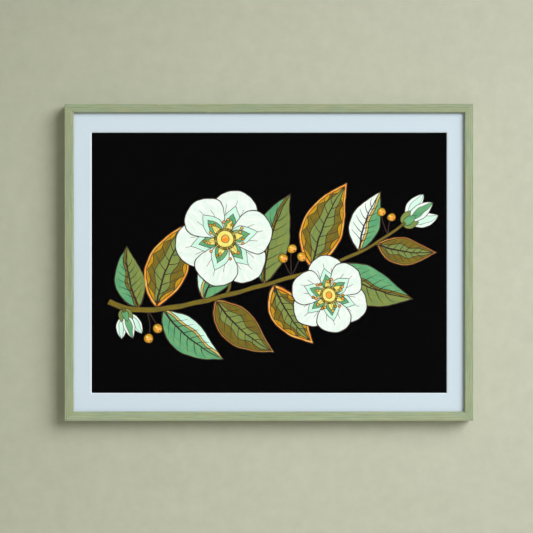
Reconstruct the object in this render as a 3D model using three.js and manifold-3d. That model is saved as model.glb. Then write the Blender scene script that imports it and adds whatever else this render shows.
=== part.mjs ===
// A framed print in landscape, as it hangs on a wall: a mitred wooden frame with a rabbet, picture glass,
// a bevel-cut window mat, a print on its mount board, a backing board held by driven tabs, a sawtooth
// hanger for either way up, and two wall bumpers. Every sheet, strip and nail is a solid of its own.
//
// Millimetres. +X runs to the right as seen from the front, +Y from the front towards the wall, +Z up.
// The origin is the point on the wall where its nail carries the top hanger, in the middle tooth gap.
import * as THREE from "three";
import { mergeVertices } from "three/addons/utils/BufferGeometryUtils.js";
import Module from "manifold-3d";

const wasm = await Module();
wasm.setup();

// ---- Driving dimensions ----
const gap = 0.3; // kept between pieces that touch
const glass = { width: 650, height: 500, thick: 2 }; // a stocked 50 x 65 cm sheet
const lip = { cover: 6, thick: 2.4 }; // how far the frame laps over the glass, and how thick it is there
const rabbetPlay = 1; // between the glass and the rabbet's wall, on each side
const moulding = { face: 15, depth: 22, arris: 1, sightArris: 2, arrisSteps: 5, backChamfer: 0.5 };
const standoff = 3; // from the wall to the back of the frame

// windowDrop: the window's middle below the board's; trim: less than the glass, a side
const mat = { thick: 1, windowWidth: 581, windowHeight: 426, windowDrop: 1, trim: 0.5 };
const print = { thick: 0.4, tucked: 10 }; // tucked: how far it reaches past the window
const mountBoard = { thick: 1.5 };
const backing = { thick: 3 };

const tab = { width: 6, thick: 0.5, reach: 10, driven: 4, tipLength: 3, tipWidth: 3 };
const tabsAlongWidth = [-240, -80, 80, 240];
const tabsAlongHeight = [-165, 0, 165];

const hanger = { length: 46, height: 7.2, thick: 0.8, lift: 1.3, endFlat: 8.5, ramp: 1.6, nailInset: 4 };
const teeth = { gaps: 11, pitch: 2, deep: 1.3, crown: 0.2, root: 0.4 }; // crown, root: widths of the flats
const nail = { shank: 1.2, head: 3.2, headThick: 0.6, headEdge: 0.25, driven: 6, point: 1.2, sides: 16 };
const bumper = { diameter: 7.6, edge: 0.4, sides: 32, inset: 16 };

// ---- Sizes that follow ----
const sight = { width: glass.width - 2 * lip.cover, height: glass.height - 2 * lip.cover };
const outer = { width: sight.width + 2 * moulding.face, height: sight.height + 2 * moulding.face };
const land = moulding.face - lip.cover - rabbetPlay; // the width of the frame's flat back
const hangerMiddle = land / 2; // from the frame's outer edge to the middle of a hanger
const bearing = hangerMiddle + hanger.height / 2 - teeth.deep; // from that edge to where the nail bears
const centreZ = bearing - outer.height / 2;
const frontY = -standoff - moulding.depth;
const backY = -standoff;

// The front face of each layer, from the lip back.
const glassY = frontY + lip.thick + gap;
const matY = glassY + glass.thick + gap;
const printY = matY + mat.thick + gap;
const mountY = printY + print.thick + gap;
const backingY = mountY + mountBoard.thick + gap;
const tabY = backingY + backing.thick + gap;

const finish = {
  stainedWood: new THREE.MeshStandardMaterial({ color: "#9ba682", roughness: 0.6 }),
  clearGlass: new THREE.MeshStandardMaterial({
    color: "#e4eef0", roughness: 0.05, transparent: true, opacity: 0.1,
  }),
  matBoard: new THREE.MeshStandardMaterial({ color: "#cfdde5", roughness: 0.95 }),
  printPaper: new THREE.MeshStandardMaterial({ color: "#0b0b0b", roughness: 0.8 }),
  greyBoard: new THREE.MeshStandardMaterial({ color: "#b9b6ae", roughness: 0.95 }),
  hardboard: new THREE.MeshStandardMaterial({ color: "#7a5a3c", roughness: 0.85 }),
  darkSteel: new THREE.MeshStandardMaterial({ color: "#4a4a4c", roughness: 0.4, metalness: 0.9 }),
  platedSteel: new THREE.MeshStandardMaterial({ color: "#c9b06a", roughness: 0.35, metalness: 0.9 }),
  paleRubber: new THREE.MeshStandardMaterial({ color: "#d6d4cc", roughness: 0.8 }),
};

// ---- Helpers ----
function solidOf(geometry) {
  const bare = geometry.index ? geometry.toNonIndexed() : geometry.clone();
  bare.deleteAttribute("normal");
  bare.deleteAttribute("uv");
  const merged = mergeVertices(bare, 1e-4);
  return new wasm.Manifold(
    new wasm.Mesh({
      numProp: 3,
      vertProperties: merged.attributes.position.array,
      triVerts: new Uint32Array(merged.index.array),
    }),
  );
}

function geometryOf(solid) {
  const mesh = solid.getMesh();
  const geometry = new THREE.BufferGeometry();
  geometry.setAttribute("position", new THREE.BufferAttribute(mesh.vertProperties, 3));
  geometry.setIndex(new THREE.BufferAttribute(mesh.triVerts, 1));
  geometry.computeVertexNormals();
  return geometry;
}

function cut(geometry, tools) {
  return geometryOf(tools.reduce((left, tool) => left.subtract(solidOf(tool)), solidOf(geometry)));
}

function named(name, geometry, material, [x, y, z]) {
  const mesh = new THREE.Mesh(geometry, material);
  mesh.name = name;
  mesh.position.set(x, y, z);
  return mesh;
}

function polygon(points) {
  return new THREE.Shape(points.map(([x, y]) => new THREE.Vector2(x, y)));
}

// A body turned about Y, from [radius, y] pairs that run upwards and start and end on the axis.
function turned(profile, sides) {
  return new THREE.LatheGeometry(profile.map(([radius, y]) => new THREE.Vector2(radius, y)), sides);
}

// A flat sheet, centred on X and Z, with its front face at y = 0.
function sheet(width, thick, height) {
  return new THREE.BoxGeometry(width, thick, height).translate(0, thick / 2, 0);
}

// A flat plate from an outline drawn in X and Z, with its front face at y = 0.
function plate(outline, thick) {
  return new THREE.ExtrudeGeometry(outline, { depth: thick, bevelEnabled: false })
    .rotateX(Math.PI / 2)
    .translate(0, thick, 0);
}

// ---- The frame ----
// The moulding's section: x is the distance in from the frame's outer edge, y the distance behind its front.
function mouldingSection() {
  const { face, depth, arris, sightArris, backChamfer } = moulding;
  const section = new THREE.Shape();
  section.moveTo(arris, 0);
  section.lineTo(face - sightArris, 0);
  section.absarc(face - sightArris, sightArris, sightArris, -Math.PI / 2, 0, false);
  section.lineTo(face, lip.thick);
  section.lineTo(land, lip.thick);
  section.lineTo(land, depth);
  section.lineTo(backChamfer, depth);
  section.lineTo(0, depth - backChamfer);
  section.lineTo(0, arris);
  section.absarc(arris, arris, arris, Math.PI, 1.5 * Math.PI, false);
  return section;
}

// A rail along X with 45 degree ends. Its outer edge is at z = 0, the moulding below it, its front at y = 0.
function mitredRail(outerLength) {
  const bar = new THREE.ExtrudeGeometry(mouldingSection(), {
    depth: 1, bevelEnabled: false, curveSegments: moulding.arrisSteps,
  }).translate(0, 0, -0.5);
  const at = bar.getAttribute("position");
  for (let i = 0; i < at.count; i++) {
    const inwards = at.getX(i);
    const halfLength = outerLength / 2 - inwards - gap / Math.SQRT2;
    at.setXYZ(i, Math.sign(at.getZ(i)) * halfLength, at.getY(i), -inwards);
  }
  return bar;
}

const cutterMouth = 1; // how far a slot's or a hole's cutter starts outside the wood

// The slot that a tab is driven into, in the rabbet's wall of a rail in its own place.
function tabSlot(alongX) {
  const deep = tab.driven + gap;
  return new THREE.BoxGeometry(tab.width + 2 * gap, tab.thick + 2 * gap, deep + cutterMouth).translate(
    alongX, tabY - frontY + tab.thick / 2, -land + (deep - cutterMouth) / 2,
  );
}

// The hole for a hanger's nail, in the back of a rail in its own place.
function nailPilot(alongX) {
  const deep = nail.driven + gap;
  const radius = nail.shank / 2 + gap;
  return new THREE.CylinderGeometry(radius, radius, deep + cutterMouth, nail.sides).translate(
    alongX, moulding.depth - (deep - cutterMouth) / 2, -hangerMiddle,
  );
}

// A flat steel point, narrowed at the end that lies over the backing board. Its middle line runs along Z.
function tabPlate() {
  const half = tab.width / 2;
  const tip = tab.tipWidth / 2;
  const shoulder = -tab.reach + tab.tipLength;
  return plate(polygon([
    [-half, tab.driven],
    [-half, shoulder],
    [-tip, -tab.reach],
    [tip, -tab.reach],
    [half, shoulder],
    [half, tab.driven],
  ]), tab.thick);
}

// ---- Hangers, nails and bumpers ----
const nailPlaces = [-1, 1].map((side) => side * (hanger.length / 2 - hanger.nailInset));

// A sawtooth hanger: flat ends on the wood, and a lifted middle with tooth gaps along its lower edge.
function hangerStrip() {
  const end = hanger.length / 2;
  const flat = end - hanger.endFlat;
  const lifted = flat - hanger.ramp;
  const front = [[-end, 0], [-flat, 0], [-lifted, hanger.lift], [lifted, hanger.lift], [flat, 0], [end, 0]];
  const back = front.map(([x, y]) => [x, y + hanger.thick]).reverse();
  const strip = new THREE.ExtrudeGeometry(polygon([...front, ...back]), {
    depth: hanger.height, bevelEnabled: false,
  }).translate(0, gap, -hanger.height / 2);

  const toothGaps = Array.from({ length: teeth.gaps }, (_, i) =>
    toothGap().translate((i - (teeth.gaps - 1) / 2) * teeth.pitch, 0, -hanger.height / 2));
  const radius = nail.shank / 2 + gap;
  const holes = nailPlaces.map((x) =>
    new THREE.CylinderGeometry(radius, radius, 4 * hanger.thick, nail.sides).translate(x, gap, 0));
  return cut(strip, [...toothGaps, ...holes]);
}

// A V that cuts upwards into the strip's lower edge, which lies at z = 0, and through its whole thickness.
function toothGap() {
  const below = 1;
  const half = (teeth.pitch - teeth.crown) / 2;
  const root = teeth.root / 2;
  return plate(polygon([
    [-half, -below],
    [half, -below],
    [half, 0],
    [root, teeth.deep],
    [-root, teeth.deep],
    [-half, 0],
  ]), 2 * (hanger.lift + hanger.thick));
}

// A round-headed nail along Y. Its shank goes through a hanger's end and into the wood in front of y = 0.
function nailBody() {
  const underHead = 2 * gap + hanger.thick;
  const shank = nail.shank / 2;
  const head = nail.head / 2;
  return turned([
    [0, -nail.driven],
    [shank, -nail.driven + nail.point],
    [shank, underHead],
    [head, underHead],
    [head, underHead + nail.headEdge],
    [0.6 * head, underHead + nail.headThick],
    [0, underHead + nail.headThick],
  ], nail.sides);
}

// A round pad between the frame's back and the wall, whose face is at y = 0.
function bumperPad() {
  const thick = standoff - gap;
  const radius = bumper.diameter / 2;
  return turned([
    [0, -thick],
    [radius, -thick],
    [radius, -bumper.edge],
    [radius - bumper.edge, 0],
    [0, 0],
  ], bumper.sides);
}

// ---- One side of the frame, with what is fixed to it ----
// turn is about Y, from the top side.
function frameSide(name, outerLength, fromCentre, turn, tabPlaces, hangerName) {
  const side = new THREE.Group();
  side.rotation.y = turn;
  side.position.set(Math.sin(turn) * fromCentre, 0, centreZ + Math.cos(turn) * fromCentre);

  const cuts = tabPlaces.map(tabSlot);
  if (hangerName) cuts.push(...nailPlaces.map(nailPilot));
  side.add(named(`frame_${name}`, cut(mitredRail(outerLength), cuts), finish.stainedWood, [0, frontY, 0]));

  tabPlaces.forEach((x, i) => {
    side.add(named(`tab_${name}_${i + 1}`, tabPlate(), finish.darkSteel, [x, tabY, -land]));
  });

  if (hangerName) {
    side.add(named(hangerName, hangerStrip(), finish.platedSteel, [0, backY, -hangerMiddle]));
    nailPlaces.forEach((x, i) => {
      const at = [x, backY, -hangerMiddle];
      side.add(named(`${hangerName}_nail_${i + 1}`, nailBody(), finish.platedSteel, at));
    });
  }
  return side;
}

// ---- The sheets ----
// The mat's window is cut at 45 degrees, so it is wider at the front by the board's thickness all round.
function windowMat(width, height) {
  const past = 1; // how far the cutter stands out of the board, before and behind
  const cutter = new THREE.BoxGeometry(mat.windowWidth, mat.thick + 2 * past, mat.windowHeight);
  const at = cutter.getAttribute("position");
  for (let i = 0; i < at.count; i++) {
    const widening = at.getY(i) < 0 ? mat.thick + past : -past;
    at.setX(i, at.getX(i) + Math.sign(at.getX(i)) * widening);
    at.setZ(i, at.getZ(i) + Math.sign(at.getZ(i)) * widening);
  }
  return cut(sheet(width, mat.thick, height), [cutter.translate(0, mat.thick / 2, -mat.windowDrop)]);
}

const boardWidth = glass.width - 2 * mat.trim;
const boardHeight = glass.height - 2 * mat.trim;
const printWidth = mat.windowWidth + 2 * print.tucked;
const printHeight = mat.windowHeight + 2 * print.tucked;

const sheets = new THREE.Group();
sheets.position.z = centreZ;
sheets.add(
  named("glazing", sheet(glass.width, glass.thick, glass.height), finish.clearGlass, [0, glassY, 0]),
  named("window_mat", windowMat(boardWidth, boardHeight), finish.matBoard, [0, matY, 0]),
  named("art_print", sheet(printWidth, print.thick, printHeight), finish.printPaper,
    [0, printY, -mat.windowDrop]),
  named("mount_board", sheet(boardWidth, mountBoard.thick, boardHeight), finish.greyBoard, [0, mountY, 0]),
  named("backing_board", sheet(boardWidth, backing.thick, boardHeight), finish.hardboard, [0, backingY, 0]),
);

// ---- The whole ----
const halfWidth = outer.width / 2;
const halfHeight = outer.height / 2;
const framedPrint = new THREE.Group();
framedPrint.add(
  frameSide("top", outer.width, halfHeight, 0, tabsAlongWidth, "hanger_top"),
  frameSide("bottom", outer.width, halfHeight, Math.PI, tabsAlongWidth),
  frameSide("left", outer.height, halfWidth, -Math.PI / 2, tabsAlongHeight, "hanger_side"),
  frameSide("right", outer.height, halfWidth, Math.PI / 2, tabsAlongHeight),
  sheets,
);

const bumperZ = centreZ - halfHeight + land / 2;
for (const [name, side] of [["left", -1], ["right", 1]]) {
  const x = side * (halfWidth - bumper.inset);
  framedPrint.add(named(`bumper_${name}`, bumperPad(), finish.paleRubber, [x, 0, bumperZ]));
}

export default framedPrint;
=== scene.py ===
import math

import bpy
import numpy as np
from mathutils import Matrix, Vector


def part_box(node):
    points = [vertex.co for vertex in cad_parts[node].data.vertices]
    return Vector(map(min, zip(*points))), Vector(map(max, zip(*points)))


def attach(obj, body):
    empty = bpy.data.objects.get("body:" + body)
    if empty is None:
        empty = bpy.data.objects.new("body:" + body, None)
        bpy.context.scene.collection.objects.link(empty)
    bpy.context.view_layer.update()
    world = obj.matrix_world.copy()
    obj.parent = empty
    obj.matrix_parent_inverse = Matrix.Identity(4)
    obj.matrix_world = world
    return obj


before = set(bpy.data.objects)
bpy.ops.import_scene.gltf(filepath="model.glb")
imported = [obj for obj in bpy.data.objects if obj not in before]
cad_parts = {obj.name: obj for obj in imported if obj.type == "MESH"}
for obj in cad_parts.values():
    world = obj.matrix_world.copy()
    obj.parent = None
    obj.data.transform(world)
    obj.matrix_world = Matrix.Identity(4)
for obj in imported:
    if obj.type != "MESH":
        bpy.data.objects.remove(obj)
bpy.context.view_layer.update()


def boxOf(node):
    # lowest and highest corner of a node, in mm
    return [np.array(corner) * 1000 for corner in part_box(node)]


gap = 0.3  # what the model keeps between pieces that touch, mm
rabbetRoom = 1.0  # between the glass's edge and the rabbet's wall, mm
printLow, printHigh = boxOf("art_print")
matLow, matHigh = boxOf("window_mat")
glassLow, glassHigh = boxOf("glazing")
frontY, backY = boxOf("frame_top")[0][1], boxOf("frame_top")[1][1]
middle = (boxOf("frame_left")[0] + boxOf("frame_right")[1]) / 2  # the picture's middle
windowDrop = middle[2] - (printLow[2] + printHigh[2]) / 2  # the window's middle is lower
sightWide = -boxOf("frame_left")[1][0]  # half of the frame's opening, sideways and upwards
sightHigh = boxOf("frame_top")[0][2] - middle[2]
faceWide = boxOf("frame_right")[1][0] - sightWide
lipThick = glassLow[1] - gap - frontY
rabbetWide = glassHigh[0] + rabbetRoom - sightWide  # out to the rabbet's wall
frameDeep = backY - frontY
print("frame loaded:", len(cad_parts), "nodes")


# The view is frontal. Lengths in mm.
view = {
    "aside": -4.2,  # from the frame's middle to the line of sight
    "below": -7.0,
    "away": 2500,  # from the camera to the frame's front
    "across": 870.2,  # what the picture's width shows there
    "sensor": 36,
}

# A wide soft lamp up on the right, an even room light, and a lamp for whoever looks at the back.
# Lengths in m.
studio = {
    "lampTowards": (1.18, -1.0, 0.77),  # from the picture to the lamp
    "lampAway": 13.0,
    "lampWide": 9.8,  # a shadow's edge opens by 21 degrees to each side
    "lampPower": 2576,
    "lampColour": (0.955, 0.955, 1.0),  # cool, as from a window
    "room": (0.303, 0.303, 0.250),  # warmer, as it comes off the walls
    "backLampAt": (-1.6, 2.6, 1.0),
    "backLampWide": 2.2,
    "backLampPower": 75,
    "backLampColour": (1.0, 1.0, 1.0),
}


def newObject(name, data):
    thing = bpy.data.objects.new(name, data)
    bpy.context.scene.collection.objects.link(thing)
    return thing


def softLamp(name, place, wide, power, colour):
    # a disc that shines at the picture's middle
    data = bpy.data.lights.new(name, "AREA")
    data.shape = "DISK"
    data.size = wide
    data.energy = power
    data.color = colour
    lamp = newObject(name, data)
    lamp.location = place
    towards = Vector(middle / 1000) - Vector(place)
    lamp.rotation_euler = towards.to_track_quat("-Z", "Y").to_euler()
    lamp.visible_camera = False


cameraData = bpy.data.cameras.new("camera")
cameraData.sensor_width = view["sensor"]
cameraData.lens = view["sensor"] * view["away"] / view["across"]
camera = newObject("camera", cameraData)
camera.location = ((middle[0] + view["aside"]) / 1000, (frontY - view["away"]) / 1000,
                   (middle[2] + view["below"]) / 1000)
camera.rotation_euler = (math.radians(90), 0, 0)
bpy.context.scene.camera = camera
bpy.context.scene.view_settings.view_transform = "Standard"
bpy.context.scene.view_settings.look = "None"

lampTowards = np.array(studio["lampTowards"])
lampTowards = lampTowards / np.linalg.norm(lampTowards)
softLamp("window light", middle / 1000 + lampTowards * studio["lampAway"], studio["lampWide"],
         studio["lampPower"], studio["lampColour"])
softLamp("light behind", studio["backLampAt"], studio["backLampWide"], studio["backLampPower"],
         studio["backLampColour"])

room = bpy.data.worlds.new("room")
room.use_nodes = True
room.node_tree.nodes["Background"].inputs["Color"].default_value = (*studio["room"], 1)
bpy.context.scene.world = room
print("camera, lamps and room ready")


class Wire:
    # a node's output, which takes part in sums as a number does
    def __init__(self, finish, socket):
        self.finish = finish
        self.socket = socket

    def math(self, operation, first, second=0.0):
        return self.finish.node("Math", {"operation": operation}, {0: first, 1: second})

    def __add__(self, other):
        return self.math("ADD", self, other)

    def __sub__(self, other):
        return self.math("SUBTRACT", self, other)

    def __mul__(self, other):
        return self.math("MULTIPLY", self, other)

    def __truediv__(self, other):
        return self.math("DIVIDE", self, other)

    def __rsub__(self, other):
        return self.math("SUBTRACT", other, self)

    def __pow__(self, other):
        return self.math("POWER", self, other)

    __radd__ = __add__
    __rmul__ = __mul__

    def size(self):
        return self.math("ABSOLUTE", self)

    def share(self):
        return self.math("FRACT", self)

    def least(self, other):
        return self.math("MINIMUM", self, other)

    def most(self, other):
        return self.math("MAXIMUM", self, other)


class Finish:
    # a material and the nodes that make it
    def __init__(self, name):
        self.material = bpy.data.materials.new(name)
        self.material.use_nodes = True
        self.tree = self.material.node_tree
        self.tree.nodes.clear()

    def node(self, kind, settings=None, sockets=None, output=0):
        # any node: its settings come first, then the values or links of its sockets
        made = self.tree.nodes.new("ShaderNode" + kind)
        for name, value in (settings or {}).items():
            setattr(made, name, value)
        for name, value in (sockets or {}).items():
            if isinstance(value, Wire):
                self.tree.links.new(value.socket, made.inputs[name])
            else:
                made.inputs[name].default_value = value
        return Wire(self, made.outputs[output]) if made.outputs else None

    def place(self):
        # where a point is, in mm, with x and z from the picture's middle and y from the wall
        here = self.node("TexCoord", output="Object")
        return self.node("VectorMath", {"operation": "MULTIPLY_ADD"},
                         {0: here, 1: (1000, 1000, 1000), 2: (-middle[0], 0, -middle[2])})

    def parts(self, vector):
        first = self.node("SeparateXYZ", {}, {0: vector})
        return [Wire(self, output) for output in first.socket.node.outputs]

    def join(self, x, y, z):
        return self.node("CombineXYZ", {}, {0: x, 1: y, 2: z})

    def noise(self, point, size, detail, coarse=0.55, shift=(0, 0, 0)):
        # read at point / size + shift; size is one number, or one for each way
        sizes = size if isinstance(size, tuple) else (size,) * 3
        vector = self.node("VectorMath", {"operation": "MULTIPLY_ADD"},
                           {0: point, 1: [1 / s for s in sizes], 2: shift})
        return self.node("TexNoise", {}, {"Vector": vector, "Scale": 1.0, "Detail": detail,
                                          "Roughness": coarse})

    def rise(self, value, low, high):
        # 0 below low, 1 above high, and a smooth step between them
        return self.node("MapRange", {"interpolation_type": "SMOOTHSTEP"},
                         {"Value": value, "From Min": low, "From Max": high})

    def mix(self, share, first, second):
        # colours: inputs 6 and 7 are the Mix node's two colours, and output 2 its result
        first, second = [c if isinstance(c, Wire) else (*c, 1) for c in (first, second)]
        return self.node("Mix", {"data_type": "RGBA"}, {0: share, 6: first, 7: second}, 2)

    def tint(self, colour, amount):
        # a colour made lighter or darker: all three parts times amount
        return self.node("VectorMath", {"operation": "SCALE"}, {0: colour, "Scale": amount})

    def bump(self, height, distance, strength):
        # distance is how high a height of 1 stands, in mm
        return self.node("Bump", {}, {"Strength": strength, "Distance": distance / 1000,
                                      "Height": height})

    def principled(self, colour, rough, shine, bump=None, metallic=0.0):
        # shine is how much of its light a face mirrors, 0.5 for most things
        sockets = {"Base Color": colour, "Roughness": rough, "Specular IOR Level": shine,
                   "Metallic": metallic}
        if bump:
            sockets["Normal"] = bump
        return self.node("BsdfPrincipled", {}, sockets)

    def surface(self, *look):
        return self.done(self.principled(*look))

    def done(self, shader):
        self.node("OutputMaterial", {}, {"Surface": shader})
        return self.material


def dress(material, *nodes):
    # the material takes the place of each node's own
    for name in nodes:
        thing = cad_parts[name]
        if not thing.material_slots:
            thing.data.materials.append(material)
        for holder in thing.material_slots:
            holder.material = material
        thing.color = material.diffuse_color


# The moulding: open-grained wood with a sage stain, unstained where it is hidden, with painted
# light and shade: each rail has its own lightness, and the sight edge is darkened.
wood = {
    "stain": (0.308, 0.366, 0.211),
    "deep": (0.180, 0.231, 0.128),  # in the pores and the early wood, and as painted shade inside the sight edge
    "warm": (0.346, 0.364, 0.208),  # where the stain lies thin over the yellow wood
    "cool": (0.299, 0.361, 0.243),  # where it lies thick
    "worn": (0.47, 0.48, 0.33),  # along the outer front edge
    "raw": (0.58, 0.43, 0.27),
    "rawDeep": (0.45, 0.31, 0.18),
    # painted light: each rail is lighter or darker for how the lamp falls on it
    "railLight": {"frame_top": 0.975, "frame_bottom": 1.07, "frame_left": 1.0, "frame_right": 1.045},
    # how strongly each shows, from 0 to 1
    "shares": {"warm": 0.9, "cool": 0.8, "early": 0.36, "streak": 0.5, "pore": 0.55, "worn": 0.32,
               "paintedShade": 0.6},
    "contrast": 0.54,  # between a light band and a dark one
    "latePores": 0.35,  # how strong the pores are outside the early wood
    "ringPitch": 3.1,  # mm
    "ringLean": (0.87, 0.5),  # how fast the rings pass outwards and in depth
    "wander": 2.4,  # how far the rings stray along a rail, mm
    "relief": 0.16,  # how deep a pore is, mm
    # for each pattern: its length along the rail, its width across it, mm, and its finer octaves
    "slow": (150, 16, 2),
    "cloud": (60, 22, 2),
    "haze": (46, 7, 3),
    "band": (34, 2.3, 4),
    "streak": (38, 0.95, 4),
    "fleck": (6.5, 0.34, 2),
}


def stainedWood(node, seed):
    # ring = share of (outwards and depth, each times its lean, + slow noise) / pitch; the pores
    # crowd in its first part
    finish = Finish("sage stained wood " + node[6:])
    x, y, z = finish.parts(finish.place())
    upright = node in ("frame_left", "frame_right")
    run, side = (z, x) if upright else (x, z)
    outwards = side.size() - (sightWide if upright else sightHigh)  # 0 at the sight edge
    depth = y - frontY  # 0 at the front
    point = finish.join(run, outwards, depth)
    shift = (seed * 13.7, seed * 5.3, seed * 2.9)

    def grain(pattern, coarse=0.55):
        length, width, octaves = wood[pattern]
        return finish.noise(point, (length, width, width), octaves, coarse, shift=shift)

    slow, cloud, haze, band = grain("slow"), grain("cloud"), grain("haze"), grain("band", 0.6)
    streak, fleck = grain("streak", 0.6), grain("fleck")
    outLean, depthLean = wood["ringLean"]
    passed = outwards * outLean + depth * depthLean + slow * (2 * wood["wander"])
    ring = (passed / wood["ringPitch"]).share()
    early = finish.rise(ring, 0.0, 0.08) * (1 - finish.rise(ring, 0.2, 0.8))
    pore = finish.rise(fleck, 0.55, 0.66) * (early * (1 - wood["latePores"]) + wood["latePores"])

    shares = wood["shares"]
    stain = finish.mix(finish.rise(cloud, 0.40, 0.60) * shares["warm"], wood["stain"], wood["warm"])
    stain = finish.mix(finish.rise(haze, 0.42, 0.62) * shares["cool"], stain, wood["cool"])
    dark = early * shares["early"] + finish.rise(streak, 0.42, 0.7) * shares["streak"]
    stain = finish.mix(dark, stain, wood["deep"])
    stain = finish.mix(pore * shares["pore"], stain, wood["deep"])
    bands = band * wood["contrast"] + (1 - wood["contrast"] / 2)
    # the bands, times each rail's painted light for how the lamp falls on it
    stain = finish.tint(stain, bands * wood["railLight"][node])

    # the stain is worn along the outer front edge, which is outer mm away, and painted shade
    # darkens the wood inside the sight edge
    outer = ((faceWide - outwards) * (faceWide - outwards) + depth * depth) ** 0.5
    worn = (1 - finish.rise(outer, 0.4, 2.0)) * finish.rise(streak, 0.25, 0.6)
    stain = finish.mix(worn * shares["worn"], stain, wood["worn"])
    # painted shade: the wood darkens on the rounding inside the sight edge
    paintedShade = (1 - finish.rise(outwards, 0.0, 1.5)) * finish.rise(depth, 0.0, 1.2)
    stain = finish.mix(paintedShade * shares["paintedShade"], stain, wood["deep"])

    raw = finish.mix(early * 0.5 + streak * 0.35, wood["raw"], wood["rawDeep"])
    spill = finish.rise(outwards + streak * 3.0, faceWide - 1.6, faceWide - 0.2)
    back = finish.rise(depth, frameDeep - 0.5, frameDeep - 0.1) * (1 - spill)
    rabbet = (finish.rise(depth, lipThick - 0.1, lipThick + 0.1)
              * (1 - finish.rise(outwards, rabbetWide + 0.3, rabbetWide + 0.7)))
    bare = back.most(rabbet)

    height = streak * 0.25 - pore * 0.75 - early * 0.2
    return finish.surface(finish.mix(bare, stain, raw), streak * 0.16 + bare * 0.2 + 0.44, 0.35,
                          finish.bump(height, wood["relief"], 0.8))


rails = {node: stainedWood(node, number + 1) for number, node in enumerate(wood["railLight"])}
for node, material in rails.items():
    dress(material, node)
print("moulding stained")


glass = {"glare": 1.065, "tint": (0.992, 1.0, 0.996), "smooth": 0.03}


def coatedGlass():
    # clear, with a glare that grows towards the edge of sight, on the outer side of each face only
    finish = Finish("clear glass, coated against glare")
    clear = finish.node("BsdfTransparent", {}, {"Color": (*glass["tint"], 1)})
    gloss = finish.node("BsdfGlossy", {}, {"Roughness": glass["smooth"]})
    glare = finish.node("Fresnel", {}, {"IOR": glass["glare"]})
    inside = finish.node("NewGeometry", output="Backfacing")
    return finish.done(finish.node("MixShader", {}, {0: glare * (1 - inside), 1: clear, 2: gloss}))


mat = {
    "face": (0.565, 0.640, 0.708),
    "core": (0.80, 0.86, 0.90),  # shows where the window's edge is cut at a slant
    "tucked": 10,  # how far the print reaches behind the mat, mm
    "tooth": 0.55,  # the paper's grain, mm
    "fibre": (4.5, 4.5, 0.5),
    "cloud": 55,
    "cloudLight": 1.012,  # how much lighter its clouds are
    "grain": 0.05,  # how much lighter and darker tooth and fibre make it
    "ply": (30, 0.12, 30),  # the core's layers, mm
    "plyDark": 0.95,
}
# half of the window, at the mat's back
windowWide = (printHigh[0] - printLow[0]) / 2 - mat["tucked"]
windowHigh = (printHigh[2] - printLow[2]) / 2 - mat["tucked"]
matThick = matHigh[1] - matLow[1]


def matBoard():
    # paper tooth on a dyed face; the core shows inside the window's front edge, which is as far
    # outside the back one as the mat is thick
    finish = Finish("pale blue mat board")
    point = finish.place()
    x, _, z = finish.parts(point)

    def inside(distance, edge):
        return 1 - finish.rise(distance, edge - 0.1, edge + 0.02)

    tooth = finish.noise(point, mat["tooth"], 3.0, 0.65)
    fibre = finish.noise(point, mat["fibre"], 3.0, 0.6)
    cloud = finish.noise(point, mat["cloud"], 2.0)
    face = finish.mix(cloud, mat["face"], [c * mat["cloudLight"] for c in mat["face"]])
    face = finish.tint(face, (tooth + fibre) * mat["grain"] + (1 - mat["grain"]))
    cut = (inside(x.size(), windowWide + matThick)
           * inside((z + windowDrop).size(), windowHigh + matThick))
    layer = finish.noise(point, mat["ply"], 2.0)
    core = finish.mix(layer, mat["core"], [c * mat["plyDark"] for c in mat["core"]])
    return finish.surface(finish.mix(cut, face, core), 0.85, 0.15,
                          finish.bump(tooth + fibre * 0.5, 0.03, 0.7))


paper = {
    "thin": (0.0024, 0.0023, 0.0023),
    "thick": (0.0012, 0.0012, 0.0014),
    "sweep": (60, 60, 3.5),  # of the brush, mm
    "tooth": 0.7,
}


def blackPaper():
    # matte black, a little uneven where the brush went over it
    finish = Finish("black painted paper")
    point = finish.place()
    sweep = finish.noise(point, paper["sweep"], 4.0, 0.6)
    tooth = finish.noise(point, paper["tooth"], 3.0, 0.6)
    return finish.surface(finish.mix(sweep, paper["thick"], paper["thin"]), 0.9, 0.015,
                          finish.bump(tooth, 0.03, 0.5))


pulp = {  # sizes in mm
    "light": (0.47, 0.45, 0.42),
    "dark": (0.36, 0.34, 0.31),
    "fleck": (1.4, 1.4, 0.7),
    "cloud": 26,
}


def pulpBoard():
    # grey flecks, a little lighter and darker in broad clouds
    finish = Finish("grey pulp board")
    point = finish.place()
    fleck = finish.noise(point, pulp["fleck"], 4.0, 0.7)
    cloud = finish.noise(point, pulp["cloud"], 2.0)
    colour = finish.mix(finish.rise(fleck, 0.35, 0.7), pulp["light"], pulp["dark"])
    return finish.surface(finish.tint(colour, cloud * 0.1 + 0.95), 0.9, 0.2,
                          finish.bump(fleck, 0.08, 0.6))


pressed = {
    "light": (0.235, 0.132, 0.062),
    "dark": (0.135, 0.070, 0.031),
    "pitch": 1.5,  # of the wire screen that it was pressed on, mm
    "stray": 1.2,  # how far its wires bend, mm
    "strayOver": 18,  # the length of a bend, mm
    "lying": (3.2, 3.2, 0.5),  # the fibres, mm
    "standing": (0.5, 3.2, 3.4),
    "cloud": (70, 70, 45),
    "relief": 0.22,  # how deep a groove is, mm
}


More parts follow.
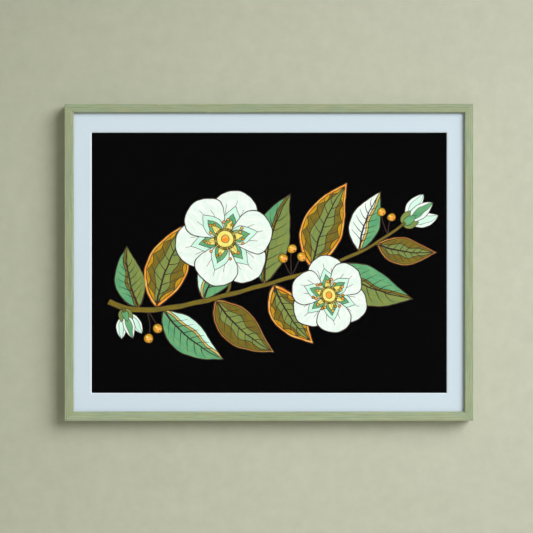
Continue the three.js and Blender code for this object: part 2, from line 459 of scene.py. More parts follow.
def hardboard():
    # brown fibre, and grooves at share of (place + stray) / pitch, as the screen left them
    finish = Finish("pressed fibre board")
    point = finish.place()
    x, _, z = finish.parts(point)
    stray = finish.noise(point, pressed["strayOver"], 2.0) * pressed["stray"]

    def wireAt(way):
        # 1 where a wire lay, 0 midway to the next
        return (((way + stray) / pressed["pitch"]).share() - 0.5).size() * 2

    wire = wireAt(x).most(wireAt(z))
    lying = finish.noise(point, pressed["lying"], 4.0, 0.7, shift=(7, 0, 3))
    standing = finish.noise(point, pressed["standing"], 4.0, 0.7, shift=(1, 0, 9))
    cloud = finish.noise(point, pressed["cloud"], 3.0)
    mass = finish.mix(finish.rise(lying * 0.5 + standing * 0.5, 0.38, 0.62), pressed["light"],
                      pressed["dark"])
    colour = finish.tint(mass, (1 - finish.rise(wire, 0.45, 0.95) * 0.28) * (cloud * 0.3 + 0.85))
    height = lying * 0.2 + standing * 0.2 - finish.rise(wire, 0.35, 0.95)
    return finish.surface(colour, lying * 0.15 + 0.62, 0.35,
                          finish.bump(height, pressed["relief"], 0.8))


metals = {
    "dark": {"colour": (0.115, 0.115, 0.125), "rough": 0.36, "scratch": 0.35, "tarnish": 0.5},
    "brass": {"colour": (0.66, 0.50, 0.235), "rough": 0.27, "scratch": 0.25, "tarnish": 0.35},
}
scratches = {"alongX": (9, 0.5, 0.12), "alongZ": (0.12, 0.5, 9), "cloud": 6}  # sizes in mm


def steel(name, look):
    # metal with fine scratches along x and z, and a slow change of its gloss
    finish = Finish(name)
    point = finish.place()
    alongX = finish.noise(point, scratches["alongX"], 3.0, 0.6)
    alongZ = finish.noise(point, scratches["alongZ"], 3.0, 0.6, shift=(3, 1, 8))
    cloud = finish.noise(point, scratches["cloud"], 3.0)
    lines = finish.rise(alongX.most(alongZ), 0.55, 0.7)
    dull = finish.rise(cloud, 0.4, 0.7)
    tarnished = [c * 0.5 for c in look["colour"]]
    bright = [min(1.0, c * 1.6) for c in look["colour"]]
    base = finish.mix(dull * look["tarnish"], look["colour"], tarnished)
    base = finish.mix(lines * look["scratch"], base, bright)
    return finish.surface(base, dull * 0.18 + lines * 0.06 + look["rough"], 0.5,
                          finish.bump(lines + cloud * 0.4, 0.02, 0.5), 1.0)


rubber = {"light": (0.66, 0.645, 0.60), "dark": (0.58, 0.56, 0.51), "grain": 0.35, "cloud": 3}


def paleRubber():
    # a fine grain, and a slow change of its colour
    finish = Finish("pale rubber")
    point = finish.place()
    grain = finish.noise(point, rubber["grain"], 3.0)
    cloud = finish.noise(point, rubber["cloud"], 2.0)
    colour = finish.mix(cloud, rubber["light"], rubber["dark"])
    return finish.surface(colour, grain * 0.1 + 0.45, 0.5, finish.bump(grain, 0.03, 0.5))


dress(coatedGlass(), "glazing")
dress(matBoard(), "window_mat")
dress(blackPaper(), "art_print")
dress(pulpBoard(), "mount_board")
dress(hardboard(), "backing_board")
darkSteel = steel("dark spring steel", metals["dark"])
brassSteel = steel("brass plated steel", metals["brass"])
dress(darkSteel, *[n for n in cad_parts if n.startswith("tab_")])
dress(brassSteel, *[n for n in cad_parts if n.startswith("hanger_")])
dress(paleRubber(), "bumper_left", "bumper_right")
print("glass, mat, print, boards and fittings finished")


def slab(edgeA, edgeB, front, back, cells):
    # P(u, v) = A(u) + v (B(u) - A(u)) at y = front and again at y = back, with a wall all round
    rows, columns = len(edgeA), cells + 1
    v = np.linspace(0, 1, columns)[None, :, None]
    flat = (edgeA[:, None] * (1 - v) + edgeB[:, None] * v).reshape(-1, 2)
    points = np.concatenate([np.insert(flat, 1, y, axis=1) for y in (front, back)])
    index = np.arange(rows * columns).reshape(rows, columns)
    quads = np.stack([index[:-1, :-1], index[:-1, 1:], index[1:, 1:], index[1:, :-1]], -1)
    quads = quads.reshape(-1, 4)
    rim = np.concatenate([index[0, :-1], index[:-1, -1], index[-1, :0:-1], index[:0:-1, 0]])
    after = np.roll(rim, -1)
    walls = np.stack([after, rim, rim + len(flat), after + len(flat)], 1)
    return points, np.concatenate([quads, quads[:, ::-1] + len(flat), walls])


def putPiece(name, parts, material, attributes=None):
    # one object from many closed parts, each given by its points, in mm from the picture's middle,
    # and its faces
    starts = np.cumsum([0] + [len(part[0]) for part in parts])
    points = (np.concatenate([part[0] for part in parts]) + (middle[0], 0, middle[2])) / 1000
    faces = np.concatenate([part[1] + start for part, start in zip(parts, starts)])
    mesh = bpy.data.meshes.new(name)
    mesh.from_pydata(points.tolist(), [], faces.tolist())
    for label, values in (attributes or {}).items():
        kind = "FLOAT_VECTOR" if values.ndim == 2 else "FLOAT"
        field = "vector" if values.ndim == 2 else "value"
        layer = mesh.attributes.new(label, kind, "POINT")
        layer.data.foreach_set(field, values.astype(np.float32).ravel())
    mesh.materials.append(material)
    thing = newObject(name, mesh)
    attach(thing, "root")


def unit(vectors):
    return vectors / np.maximum(np.linalg.norm(vectors, axis=-1, keepdims=True), 1e-9)


def leftOf(line):
    # the unit normal to the left of a line's run: its tangent turned by a quarter
    tangent = unit(np.gradient(line, axis=0))
    return np.stack([-tangent[:, 1], tangent[:, 0]], 1)


def walkedAlong(line):
    # how far each point is along the line: the sum of the steps up to it
    return np.concatenate([[0], np.cumsum(np.linalg.norm(np.diff(line, axis=0), axis=1))])


def bend(points, reach, count, crowded):
    # a Bezier curve, sum of C(n, k) t^k (1 - t)^(n - k) P_k, read off at steps of its length from
    # -reach to length + reach; crowded steps, (1 - cos(pi u)) / 2, are short at the ends
    spare = 25.0  # it goes on straight for so long past each end, mm
    fine = 160  # points enough to measure its length by
    t = np.linspace(0, 1, fine)[:, None]
    n = len(points) - 1
    dense = sum(math.comb(n, k) * t**k * (1 - t) ** (n - k) * np.array(points[k], float)
                for k in range(n + 1))
    first = dense[0] - spare * unit(dense[1] - dense[0])
    last = dense[-1] + spare * unit(dense[-1] - dense[-2])
    dense = np.vstack([first, dense, last])
    walked = walkedAlong(dense) - spare
    u = np.linspace(0, 1, count)
    share = (1 - np.cos(np.pi * u)) / 2 if crowded else u
    at = -reach + share * (walked[-1] - spare + 2 * reach)
    return np.stack([np.interp(at, walked, dense[:, i]) for i in (0, 1)], 1), share


# The painted spray. Each paint is one mesh of many patches, and each patch is a coat thick.
paints = {  # screen values, 0 to 255, where it is thick and thin
    "umber": ((64, 44, 37), (52, 40, 36)),
    "bronze": ((131, 112, 31), (114, 100, 41)),
    "olive": ((140, 151, 74), (123, 143, 80)),
    "jade": ((116, 176, 121), (95, 165, 118)),
    "mint": ((222, 252, 236), (206, 248, 226)),
    "white": ((250, 253, 247), (235, 249, 239)),
    "orange": ((254, 150, 46), (254, 192, 94)),
    "mustard": ((212, 158, 18), (193, 142, 28)),
    "yellow": ((252, 242, 136), (250, 230, 110)),
    "tan": ((228, 198, 112), (208, 178, 96)),
}

brush = {  # mm
    "step": 0.025,  # from one coat to the next
    "coat": 0.02,  # how thick a coat is
    "outline": 1.6,  # the dark line round a shape
    "line": 1.0,  # the dark line between two colours
    "stalkLine": (0.9, 0.8),  # the dark line along a stalk, at its foot and its end
    "rim": 3.4,  # the orange edge of a scalloped leaf
    "plainRim": 1.7,  # and of a plain one
    "ribbon": 2.8,  # the ribbon between two colours
    "shake": 0.4,  # how far the hand strays
    "fine": 1.0,  # a stroke of less half width has one cell across
    "leastHalf": 0.06,  # of a leaf or petal
    "leastWide": 0.05,  # of a patch of it
}
marks = (3.7, 11.3, 89)  # make a patch's number from its place and its coat

canvas = {name: [] for name in paints}  # for each paint, its patches


def handDrawn(line):
    # every point moves by slow sine waves of its place, the same for all patches there
    x, z = line[:, 0], line[:, 1]
    stray = np.stack([np.sin(0.17 * z + 0.06 * x) + 0.5 * np.sin(0.41 * z - 0.29 * x),
                      np.sin(0.15 * x - 0.08 * z + 2) + 0.5 * np.sin(0.37 * x + 0.33 * z)], 1)
    return line + brush["shake"] * stray


def lay(paint, coat, edgeA, edgeB, cells=2):
    # a patch of one paint between two lines, which the brush followed; flow says where a point is:
    # mm along, mm across, and the patch's number; near is how far it is from the patch's edge
    edgeA, edgeB = handDrawn(edgeA), handDrawn(edgeB)
    front = printLow[1] - (coat + 1) * brush["step"]
    points, faces = slab(edgeA, edgeB, front, front + brush["coat"], cells)
    wide = np.linalg.norm(edgeB - edgeA, axis=1)[:, None]
    centre = (edgeA + edgeB) / 2
    walked = walkedAlong(centre)
    v = np.linspace(0, 1, cells + 1)[None, :]
    along = np.repeat(walked[:, None], cells + 1, 1)
    near = np.minimum(np.minimum(v, 1 - v) * wide, np.minimum(along, walked[-1] - along))
    byPlace, byCoat, limit = marks
    mark = np.full_like(along, (centre[0].sum() * byPlace + coat * byCoat) % limit)
    flow = np.stack([along, (v - 0.5) * wide, mark], -1).reshape(-1, 3)
    canvas[paint].append((points, faces, np.tile(flow, (2, 1)), np.tile(near.ravel(), 2)))


def stroke(paint, coat, points, start, end, count=20, curve=True):
    # a brush line whose half width goes from start to end
    line = bend(points, 0, count, False)[0] if curve else np.array(points, float)
    side = leftOf(line) * np.linspace(start, end, len(line))[:, None]
    lay(paint, coat, line + side, line - side, 1 if start < brush["fine"] else 2)


def halfWidth(form, share, wide):
    # a round shape: wide sqrt(4 s (1 - s)); a leaf or petal: wide sin(pi s^belly)^blunt
    if form.get("round"):
        return wide * 2 * np.sqrt(share * (1 - share))
    return wide * np.sin(np.pi * share ** form["belly"]).clip(0) ** form["blunt"]


def blade(paint, coat, form, grow=0.0, low=None, high=None, count=60):
    # a leaf or petal along its midline, grown or shrunk by grow; it is whole, or low and high give
    # its two edges from the share s of its length and the half width h there
    line, share = bend(form["points"], grow * form.get("ends", 1.0), count, True)
    half = np.maximum(halfWidth(form, share, form["width"] / 2 + grow), brush["leastHalf"])
    normal = leftOf(line)
    upper = high(share, half) if high else half
    lower = low(share, half) if low else -half
    upper, lower = np.clip(upper, -half, half), np.clip(lower, -half, half)
    upper = np.maximum(upper, lower + brush["leastWide"])
    lay(paint, coat, line + normal * upper[:, None], line + normal * lower[:, None])


def wavy(mean, swing, waves, phase, pad=0.0):
    # an edge at a share of the half width: (mean + swing sin(2 pi waves s + phase)) h + pad
    return lambda s, h: (mean + swing * np.sin(2 * np.pi * waves * s + phase)) * h + pad


bites = {"low": 5, "high": 6, "deep": 6.8, "full": 9}  # how many on each edge; sizes in mm
heart = ((-0.42, 0.10, 3.1, 0.5), (0.44, 0.10, 2.6, 2.0))  # mean, swing, waves, phase
ribbonWave = (0.08, 1.0)  # swing, phase


def scalloped(sign, pad=0.0):
    # an edge with round bites: h - deep min(1, h / full) |sin(pi count s)| + pad, so that they are
    # shallow where it is narrow
    count = bites["high"] if sign > 0 else bites["low"]

    def edge(s, h):
        deep = bites["deep"] * np.minimum(1, h / bites["full"])
        return sign * (h - deep * np.abs(np.sin(np.pi * count * s)) + pad)

    return edge


def rimmed(paint, line):
    # a whole patch, and under it a dark one that is wider by line
    return [("umber", line, None, None), (paint, 0, None, None)]


def lined(paint, grow, low, high, line):
    # a patch between two wavy edges, and under it a dark one that is wider by line
    return [("umber", grow, wavy(*low, -line), wavy(*high, line)),
            (paint, grow, wavy(*low), wavy(*high))]


def bordered(edge, inside, scallops=False):
    # an orange edge, then one paint with another at its heart, between wavy lines; mustard may fill
    # scallops along the edge
    thin = brush["line"]
    rim = brush["rim"] if scallops else brush["plainRim"]
    layers = rimmed("orange", brush["outline"]) + [("umber", thin - rim, None, None)]
    if scallops:
        layers += [("mustard", -rim, None, None),
                   ("umber", -rim, scalloped(-1, thin), scalloped(1, thin)),
                   (edge, -rim, scalloped(-1), scalloped(1))]
    else:
        layers += [(edge, -rim, None, None)]
    return layers + lined(inside, -rim, *heart, thin)


def ribboned(main, ribbon, side, mean, sign, waves=2.2):
    # one paint, and another along one side, parted by a ribbon between two dark lines
    thin, wide = brush["line"], brush["ribbon"]
    swing, phase = ribbonWave

    def part(paint, pad):
        line = wavy(sign * mean, swing, waves, phase, sign * pad)
        return (paint, 0, line, None) if sign > 0 else (paint, 0, None, line)

    return rimmed(main, brush["outline"]) + [part("umber", -thin), part(ribbon, 0),
                                             part("umber", wide), part(side, wide + thin)]


recipes = {  # a look's patches: paint, grow, low edge, high edge
    "scalloped": bordered("bronze", "olive", True),
    "edged": bordered("bronze", "olive"),
    "jade": ribboned("jade", "tan", "mint", 0.42, 1),
    "moss": ribboned("olive", "bronze", "jade", 0.12, 1, 2.6),
    "pale": ribboned("white", "tan", "jade", 0.16, -1),
}

rib = {  # shares of the leaf's length, if not in mm
    "steps": 80,
    "end": 0.96,  # of the midrib
    "half": 1.7,  # of its width at its foot, mm
    "taper": 0.35,  # its end's width, as a share of its foot's
    "count": 6,  # side ribs on each side
    "first": 0.13,
    "spread": 0.66,  # from the first to the last
    "later": 0.35,  # how much further on to the left, in steps
    "side": 0.42,  # their width, as a share of the midrib's
    "sideTip": 0.25,  # half of their width at their ends, mm
    "sweep": (0.17, 1.25),  # lean and power
    "reach": 0.80,  # of the half width
}


def ribs(form, coat):
    # the midrib, and side ribs that leave it at even steps: P(s, v) with s = a + lean v^power
    line, share = bend(form["points"], 0, rib["steps"], False)
    half = halfWidth(form, share, form["width"] / 2)
    normal = leftOf(line)
    lean, power = rib["sweep"]
    v = np.linspace(0, rib["reach"], 10)
    for number in range(rib["count"]):
        for way, later in ((-1, 0), (1, rib["later"])):
            s = rib["first"] + (number + later) * rib["spread"] / rib["count"] + lean * v**power
            at = [np.interp(s, share, line[:, i]) for i in (0, 1)]
            out = [np.interp(s, share, normal[:, i] * half) for i in (0, 1)]
            path = np.stack([at[i] + way * v * out[i] for i in (0, 1)], 1)
            stroke("umber", coat, path, rib["half"] * rib["side"], rib["sideTip"], curve=False)
    main = line[: int(rib["steps"] * rib["end"])]
    side = leftOf(main) * np.linspace(rib["half"], rib["half"] * rib["taper"], len(main))[:, None]
    lay("umber", coat + 1, main + side, main - side)


def turned(direction, degrees):
    # (x cos a - y sin a, x sin a + y cos a)
    a = math.radians(degrees)
    return np.array([direction[0] * math.cos(a) - direction[1] * math.sin(a),
                     direction[0] * math.sin(a) + direction[1] * math.cos(a)])


def shoot(base, direction, length, arch):
    # three points for a curve from base on, its middle pushed aside by arch times length
    side = turned(direction, 90)
    return [base, base + direction * length * 0.5 + side * arch * length, base + direction * length]


def disc(paint, coat, centre, radius, count=28):
    reach = np.array((radius, 0.0))
    form = {"points": [centre - reach, centre, centre + reach], "width": 2 * radius, "round": True}
    blade(paint, coat, form, count=count)


def stalk(points, coat, start, end):
    atFoot, atEnd = brush["stalkLine"]
    stroke("umber", coat, points, start + atFoot, end + atEnd, count=48)
    stroke("bronze", coat + 1, points, start, end, count=48)


# Places in mm from the picture's middle, angles in degrees, places on the stem as a share of its
# length.
spray = {
    "stem": [(-262, -64), (-200, -104), (-90, -66), (10, -12), (110, -34), (190, 40), (224, 66)],
    "stemSteps": 240,
    "stemHalf": (4.2, 1.7),
    # where on the stem, turn from its run, length, width, arch, look
    "leaves": [
        (0.10, 104, 100, 48, 0.12, "moss"),
        (0.15, 62, 154, 68, 0.13, "scalloped"),
        (0.17, -46, 124, 54, -0.13, "jade"),
        (0.30, 44, 150, 64, 0.10, "jade"),
        (0.34, -56, 126, 58, -0.12, "edged"),
        (0.50, 58, 150, 62, 0.13, "moss"),
        (0.53, -72, 114, 54, -0.12, "scalloped"),
        (0.66, 50, 150, 68, 0.13, "scalloped"),
        (0.72, -42, 142, 62, -0.13, "moss"),
        (0.82, 44, 100, 48, 0.13, "pale"),
        (0.88, -38, 96, 44, -0.12, "edged"),
    ],
    # centre, radius, petals, turn, where its stalk leaves the stem
    "blossoms": [
        ((-72, 38), 82, 6, 12, 0.37),
        ((98, -54), 65, 6, 40, 0.60),
    ],
    # where on the stem, turn, length, width
    "buds": [
        (0.985, -4, 54, 36),
        (0.05, -60, 44, 28),
    ],
    # where on the stem, turn, how long the stalks are, radius
    "berries": [
        (0.124, -62, (47, 35), 7.2),
        (0.60, 74, (36, 46, 34), 7.0),
        (0.93, 70, (30, 40), 6.2),
    ],
}

# The coats that each kind of thing starts at: leaves, the stem, berries, blossoms.
behind, stemCoat, ahead, bloomCoat = 0, 11, 14, 17

stemLine = bend(spray["stem"], 0, spray["stemSteps"], False)[0]
stemWay = unit(np.gradient(stemLine, axis=0))

# A shape is widest nearer its foot where belly is below 1, and its ends are rounder the lower blunt
# is; ends is how much more they grow than its sides, and line is the dark line round it, mm.
outlines = {
    "leaf": {"belly": 0.80, "blunt": 1.05, "ends": 1.9},
    "bud": {"belly": 1.05, "blunt": 0.8, "ends": 1.3, "line": 1.0},
    "sepal": {"belly": 0.8, "blunt": 0.9, "ends": 1.3, "line": 0.9},
    "petal": {"belly": 1.45, "blunt": 0.62, "ends": 1.0, "line": 1.5},
    "flame": {"belly": 0.85, "blunt": 1.1, "ends": 1.6, "line": 0.9},
}


def outline(kind, foot, way, length, arch, width):
    return {"points": shoot(foot, way, length, arch), "width": width, **outlines[kind]}


def onStem(at):
    index = int(round(at * (len(stemLine) - 1)))
    return stemLine[index], stemWay[index]


def coats(layers, coat, form):
    for number, (paint, grow, low, high) in enumerate(layers):
        blade(paint, coat + number, form, grow, low, high)


leafStalk = {"foot": 5, "end": 9, "half": (1.3, 0.9)}  # mm; the leaf starts at foot


def leaf(at, turn, length, width, arch, look):
    base, way = onStem(at)
    way = turned(way, turn)
    foot = base + way * leafStalk["foot"]
    form = outline("leaf", foot, way, length, arch, width)
    coats(recipes[look], behind, form)
    ribs(form, behind + len(recipes[look]))
    stalk([base, foot, base + way * leafStalk["end"]], stemCoat, *leafStalk["half"])


berry = {
    "fan": 26,  # degrees from one stalk to the next
    "arch": 0.12,
    "half": (1.0, 0.8),  # of a stalk's width, mm
    "line": 1.0,
    # paint, coat, middle and radius as shares of the berry's radius, steps
    "spots": [("orange", 2, (0.18, -0.16), 0.66, 28), ("yellow", 3, (-0.32, 0.34), 0.26, 14),
              ("umber", 3, (0.5, -0.5), 0.16, 12)],
}


def berryBunch(at, turn, lengths, radius):
    # each berry is mustard with an orange side, a yellow glint and a dark eye
    base, way = onStem(at)
    for number, length in enumerate(lengths):
        towards = turned(way, turn + (number - 1) * berry["fan"])
        points = shoot(base, towards, length, berry["arch"])
        stroke("umber", stemCoat, points, *berry["half"], count=14)
        disc("umber", ahead, points[2], radius + berry["line"])
        disc("mustard", ahead + 1, points[2], radius)
        for paint, coat, place, share, count in berry["spots"]:
            disc(paint, ahead + coat, points[2] + np.array(place) * radius, radius * share, count)


closed = {  # feet, stalk and line in mm; arch for a degree of lean
    "foot": 8,
    "petals": [(-22, "mint", 0), (24, "mint", 0), (2, "jade", 4)],  # lean, flush, coat
    "petalWide": 0.62,
    "petalArch": 0.004,
    "flush": ((-0.5, 0.06, 2, 0), (0.5, 0.06, 2, 1)),
    "flushLine": 0.6,
    "sepalFoot": 3,
    "sepals": [(-27, "olive", 8), (27, "olive", 8), (0, "jade", 10)],  # lean, paint, coat
    "sepalLong": 0.46,
    "sepalWide": 0.36,
    "sepalArch": 0.0075,
    "stalk": (4, 8),
    "stalkHalf": (1.6, 1.8),
    "stalkCoat": 12,
}


def bud(at, turn, length, width):
    # three closed petals, and three sepals round their foot
    base, way = onStem(at)
    way = turned(way, turn)
    for lean, flush, coat in closed["petals"]:
        form = outline("bud", base + way * closed["foot"], turned(way, lean), length,
                       closed["petalArch"] * lean, width * closed["petalWide"])
        layers = rimmed("white", form["line"])
        layers += lined(flush, 0, *closed["flush"], closed["flushLine"])
        coats(layers, bloomCoat + coat, form)
    for lean, paint, coat in closed["sepals"]:
        form = outline("sepal", base + way * closed["sepalFoot"], turned(way, lean),
                       length * closed["sepalLong"], closed["sepalArch"] * lean,
                       width * closed["sepalWide"])
        coats(rimmed(paint, form["line"]), bloomCoat + coat, form)
    stalk([base] + [base + way * far for far in closed["stalk"]], bloomCoat + closed["stalkCoat"],
          *closed["stalkHalf"])


bloom = {  # shares of the blossom's radius, if not in mm
    "stalkRun": 20,  # how far its stalk follows the stem, mm
    "stalkHalf": (2.0, 1.7),  # mm
    "upper": 0.95,  # the radius of the upper petals
    "upperCoat": 9,
    "wide": 0.86,
    "foot": 0.07,
    "long": 0.93,
    "tilt": 0.05,
    # paint, length, share of the petal's width
    "flames": [("mint", 0.62, 0.42), ("jade", 0.46, 0.27), ("yellow", 0.33, 0.15)],
    "lines": [(-17, 0.62), (0, 0.74), (17, 0.62)],  # lean in degrees, length
    "lineArch": 0.004,  # for a degree of lean
    "lineHalf": (0.6, 0.3),  # mm
    "ringCoat": 18,
    "rings": [("bronze", 0.21), ("yellow", 0.165), ("orange", 0.075)],
    "ringLines": (1.0, 0.8),  # round the first and round the others, mm
}
stamen = {
    "count": 18,
    "stray": (7, 2.3),  # degrees, how quickly it changes
    "long": (0.36, 0.045, 3.7),  # share of the radius, change, how fast it changes
    "from": 0.14,
    "bent": 0.7,  # share of its length
    "half": (0.6, 0.45),  # mm
    "tip": (2.7, 1.9),  # radius with the dark line and without, mm
}


def petal(centre, angle, radius, width, coat):
    # white, with flames from its foot, one in the other, and fine lines that spread from there
    way = turned((1, 0), angle)
    foot = centre + way * radius * bloom["foot"]
    tilt = bloom["tilt"] * math.sin(math.radians(angle * 3))
    form = outline("petal", foot, way, radius * bloom["long"], tilt, width)
    coats(rimmed("white", form["line"]), coat, form)
    for lean, along in bloom["lines"]:
        points = shoot(foot, turned(way, lean), radius * along, bloom["lineArch"] * lean)
        stroke("umber", coat + 2, points, *bloom["lineHalf"], count=12)
    for number, (paint, along, across) in enumerate(bloom["flames"]):
        flame = outline("flame", foot, way, radius * along, tilt, width * across)
        coats(rimmed(paint, flame["line"]), coat + 3 + 2 * number, flame)


def stamens(centre, radius, coat):
    # n thin strokes with round tips: angle 360 i / n + stray sin(i quick), length radius times
    # (long + change sin(i fast))
    stray, quick = stamen["stray"]
    long, change, fast = stamen["long"]
    darkTip, lightTip = stamen["tip"]
    for number in range(stamen["count"]):
        angle = number * 360 / stamen["count"] + stray * math.sin(number * quick)
        out = turned((1, 0), angle)
        length = radius * (long + change * math.sin(number * fast))
        tip = centre + out * length
        stroke("tan", coat, [centre + out * radius * stamen["from"],
                             centre + out * length * stamen["bent"], tip], *stamen["half"], count=8)
        disc("umber", coat + 1, tip, darkTip, 14)
        disc("orange" if number % 3 else "mustard", coat + 2, tip, lightTip, 14)


def blossom(centre, radius, count, turn, at):
    # two rings of petals, one over the other, then stamens and three discs
    centre = np.array(centre, float)
    base, way = onStem(at)
    run = base + way * bloom["stalkRun"]
    stalk([base, run, (run + centre) / 2, centre], stemCoat, *bloom["stalkHalf"])
    for number in range(count):
        over = number % 2 == 0
        petal(centre, turn + number * 360 / count, radius * (bloom["upper"] if over else 1.0),
              radius * bloom["wide"], bloomCoat + (bloom["upperCoat"] if over else 0))
    coat = bloomCoat + bloom["ringCoat"]
    (first, ring), *others = bloom["rings"]
    firstLine, otherLine = bloom["ringLines"]
    disc("umber", coat, centre, radius * ring + firstLine)
    disc(first, coat + 1, centre, radius * ring)
    stamens(centre, radius, coat + 2)
    for number, (paint, ring) in enumerate(others):
        disc("umber", coat + 3 + 2 * number, centre, radius * ring + otherLine)
        disc(paint, coat + 4 + 2 * number, centre, radius * ring)


for entry in spray["leaves"]:
    leaf(*entry)
stalk(spray["stem"], stemCoat + 1, *spray["stemHalf"])
for entry in spray["berries"]:
    berryBunch(*entry)
for entry in spray["buds"]:
    bud(*entry)
for entry in spray["blossoms"]:
    blossom(*entry)
print("spray drawn:", sum(len(patches) for patches in canvas.values()), "patches")


gouacheLook = {
    "streak": (18, 1.1, 1.0),  # along the brush's way, across it, from patch to patch
    "pool": (15, 6, 1.0),
    "tooth": 0.7,  # the paper's grain, mm
    "contrast": 0.34,
    "tone": 1.01,
    "dried": 0.12,  # how much darker a patch is at its very edge
    "driedWide": 1.1,  # how wide that dark edge is, mm
    "glare": 1.15,  # how much brighter the light makes a paint
}


def ink(colour):
    # a screen value c becomes light: ((c / 255 + 0.055) / 1.055)^2.4, divided by the glare
    return [((c / 255 + 0.055) / 1.055) ** 2.4 / gouacheLook["glare"] for c in colour]


def gouache(name, thick, thin):
    # streaks along the brush's way, thin and thick spots, and a darker line where it dried last
    finish = Finish(name + " gouache")
    flow = finish.node("Attribute", {"attribute_name": "flow"}, output="Vector")
    edge = finish.node("Attribute", {"attribute_name": "edge"}, output="Fac")
    streak = finish.noise(flow, gouacheLook["streak"], 4.0, 0.65)
    pool = finish.noise(flow, gouacheLook["pool"], 3.0, shift=(5, 5, 0))
    tooth = finish.noise(finish.place(), gouacheLook["tooth"], 3.0, 0.6)
    base = finish.mix(finish.rise(pool, 0.36, 0.64), ink(thick), ink(thin))
    dried = (1 - finish.rise(edge, 0.0, gouacheLook["driedWide"])) * gouacheLook["dried"]
    contrast = gouacheLook["contrast"]
    base = finish.tint(base, streak * contrast + (gouacheLook["tone"] - contrast / 2) - dried)
    height = streak * 0.5 + tooth * 0.4 + dried * 4
    return finish.surface(base, streak * 0.2 + 0.66, 0.12, finish.bump(height, 0.02, 0.6))


for name, patches in canvas.items():
    points, faces, flow, edge = zip(*patches)
    putPiece("painted_" + name, list(zip(points, faces)), gouache(name, *paints[name]),
             {"flow": np.concatenate(flow), "edge": np.concatenate(edge)})
print("spray painted")


# Glue fills each mitre, a little below the wood's surface. Lengths in mm.
glue = {
    "half": 0.13,  # of its thickness; the rails' ends are 0.3 apart
    # from and to behind the front, then how far from the outer edge and from the sight edge
    "steps": [(0.12, 0.5, 0.7, 1.5), (0.5, 1.0, 0.2, 0.8), (1.0, lipThick - 0.1, 0.12, 0.36),
              (lipThick - 0.1, frameDeep - 0.1, 0.12, rabbetWide + 0.12)],
}

# A bent steel wedge across each mitre, driven into the back. Lengths in mm.
wedge = {
    # its bends, outwards and across
    "legs": [(-2.3, -4.0), (-1.6, -3.4), (1.9, 0.0), (-1.6, 3.4), (-2.3, 4.0)],
    "half": 0.16,  # of its thickness
    "deep": 5.0,
    "proud": 0.12,
    "from": 11.0,  # from the sight edge to its middle
}

corners = [np.array([right, up]) for right in (-1, 1) for up in (-1, 1)]


def glueLines():
    # each step is a thin wall along the diagonal, from the outer corner in
    parts = []
    for corner in corners:
        outermost = corner * (sightWide + faceWide, sightHigh + faceWide)
        for start, end, outside, inside in glue["steps"]:
            inwards = np.array([[outside], [faceWide - inside]])
            line = outermost - inwards * corner
            normal = leftOf(line) * glue["half"]
            parts.append(slab(line + normal, line - normal, frontY + start, frontY + end, 1))
    return parts


def cornerWedges():
    # the bent sheet's profile, mirrored into each corner, between two depths
    parts = []
    legs = np.array(wedge["legs"])
    front, back = backY - wedge["deep"], backY + wedge["proud"]
    for corner in corners:
        out = corner / math.sqrt(2)
        side = np.array([-out[1], out[0]])
        centre = corner * (sightWide + wedge["from"], sightHigh + wedge["from"])
        line = centre + legs[:, :1] * out + legs[:, 1:] * side
        normal = leftOf(line) * wedge["half"]
        parts.append(slab(line + normal, line - normal, front, back, 1))
    return parts


putPiece("mitre_glue", glueLines(), rails["frame_top"])
putPiece("corner_wedges", cornerWedges(), darkSteel)
print("mitres glued and wedged")


# The wall and the floor, which aren't part of the object. These sizes are in m.
stageSizes = {"wallWide": 7.0, "wallHigh": 4.4, "floorDrop": 1.5, "floorDeep": 7.0}
wallLook = {  # lengths in mm
    # painted light: yellower in the shade on the left, bluer in the lamp's light on the right
    "left": (0.444, 0.4605, 0.3436),
    "right": (0.4555, 0.4605, 0.366),
    "change": (-550, 850),  # between these places the one colour becomes the other
    "changeStray": 300,
    "bright": 600,  # painted light: it is lightest there, to the right of the picture
    "tone": 1.08,  # how light it is there
    "leastTone": 0.72,
    "fade": (2300, 1430, 1280),  # how slowly the painted shade darkens it to the left, upwards and below
    "belowLeft": 215,  # below, it darkens from so far left of the middle on
    "cloud": 75,
    "patch": 22,
    "grit": 1.6,
    "shares": {"patch": 0.20, "cloud": 0.08, "grit": 0.04},  # how strongly each shows
}
floorLook = {"light": (0.56, 0.55, 0.525), "dark": (0.51, 0.50, 0.475), "cloud": 300}


def plainSheet(name, corners, material):
    mesh = bpy.data.meshes.new(name)
    mesh.from_pydata(corners, [], [(0, 1, 2, 3)])
    mesh.materials.append(material)
    thing = newObject(name, mesh)
    return thing


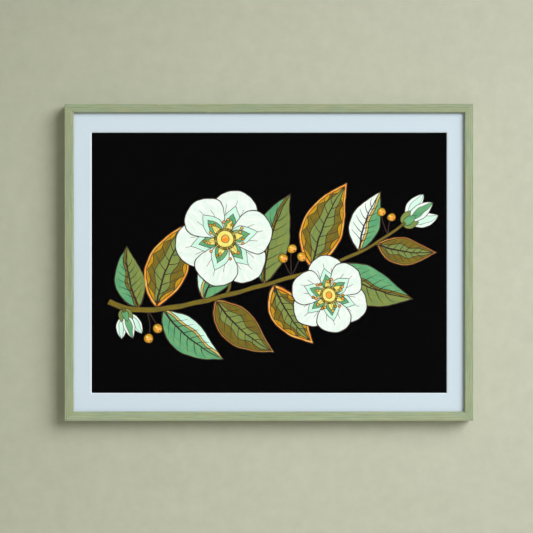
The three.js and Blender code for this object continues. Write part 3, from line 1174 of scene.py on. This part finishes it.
def wallPaint():
    # pale sage paint on uneven plaster, clear when seen from behind, with painted light and shade:
    # how light it is falls with the square of the way to the left, the square of the height, and
    # the square of the depth below times the way to the right; it is yellower in the painted shade
    # on the left and bluer in the painted light on the right
    finish = Finish("sage wall paint")
    point = finish.place()
    x, _, z = finish.parts(point)
    cloud = finish.noise(point, wallLook["cloud"], 3.0, 0.6)
    patch = finish.noise(point, wallLook["patch"], 4.0, 0.6, shift=(4, 0, 2))
    grit = finish.noise(point, wallLook["grit"], 3.0)
    sideways, above, below = wallLook["fade"]
    # painted light and shade: lightest right of the picture, darker to the left, up and below
    left, up, down = (x - wallLook["bright"]) / sideways, z.most(0.0) / above, z.least(0.0) / below
    right = (x + wallLook["belowLeft"]) / below
    tone = wallLook["tone"] - left * left - up * up - down * down * right
    tone = tone.most(wallLook["leastTone"])
    # the colour's change from left to right is painted light
    change = finish.rise(x + cloud * wallLook["changeStray"], *wallLook["change"])
    shares = wallLook["shares"]
    texture = patch * shares["patch"] + cloud * shares["cloud"] + grit * shares["grit"]
    colour = finish.tint(finish.mix(change, wallLook["left"], wallLook["right"]),
                         (texture + (1 - sum(shares.values()) / 2)) * tone)
    face = finish.principled(colour, 0.9, 0.1, finish.bump(grit, 0.08, 0.5))
    clear = finish.node("BsdfTransparent")
    behindIt = finish.node("NewGeometry", output="Backfacing")
    return finish.done(finish.node("MixShader", {}, {0: behindIt, 1: face, 2: clear}))


def floorPaint():
    # pale, with broad clouds
    finish = Finish("pale floor")
    cloud = finish.noise(finish.place(), floorLook["cloud"], 4.0)
    return finish.surface(finish.mix(cloud, floorLook["light"], floorLook["dark"]), 0.8, 0.12)


half, deep = stageSizes["wallWide"] / 2, stageSizes["floorDeep"]
drop = middle[2] / 1000 - stageSizes["floorDrop"]
top = drop + stageSizes["wallHigh"]
wall = plainSheet("wall", [(-half, 0, drop), (half, 0, drop), (half, 0, top), (-half, 0, top)],
                  wallPaint())
wall.visible_shadow = False
wall.visible_diffuse = False
plainSheet("floor",
           [(-half, -deep, drop), (half, -deep, drop), (half, deep, drop), (-half, deep, drop)],
           floorPaint())
print("wall and floor ready")
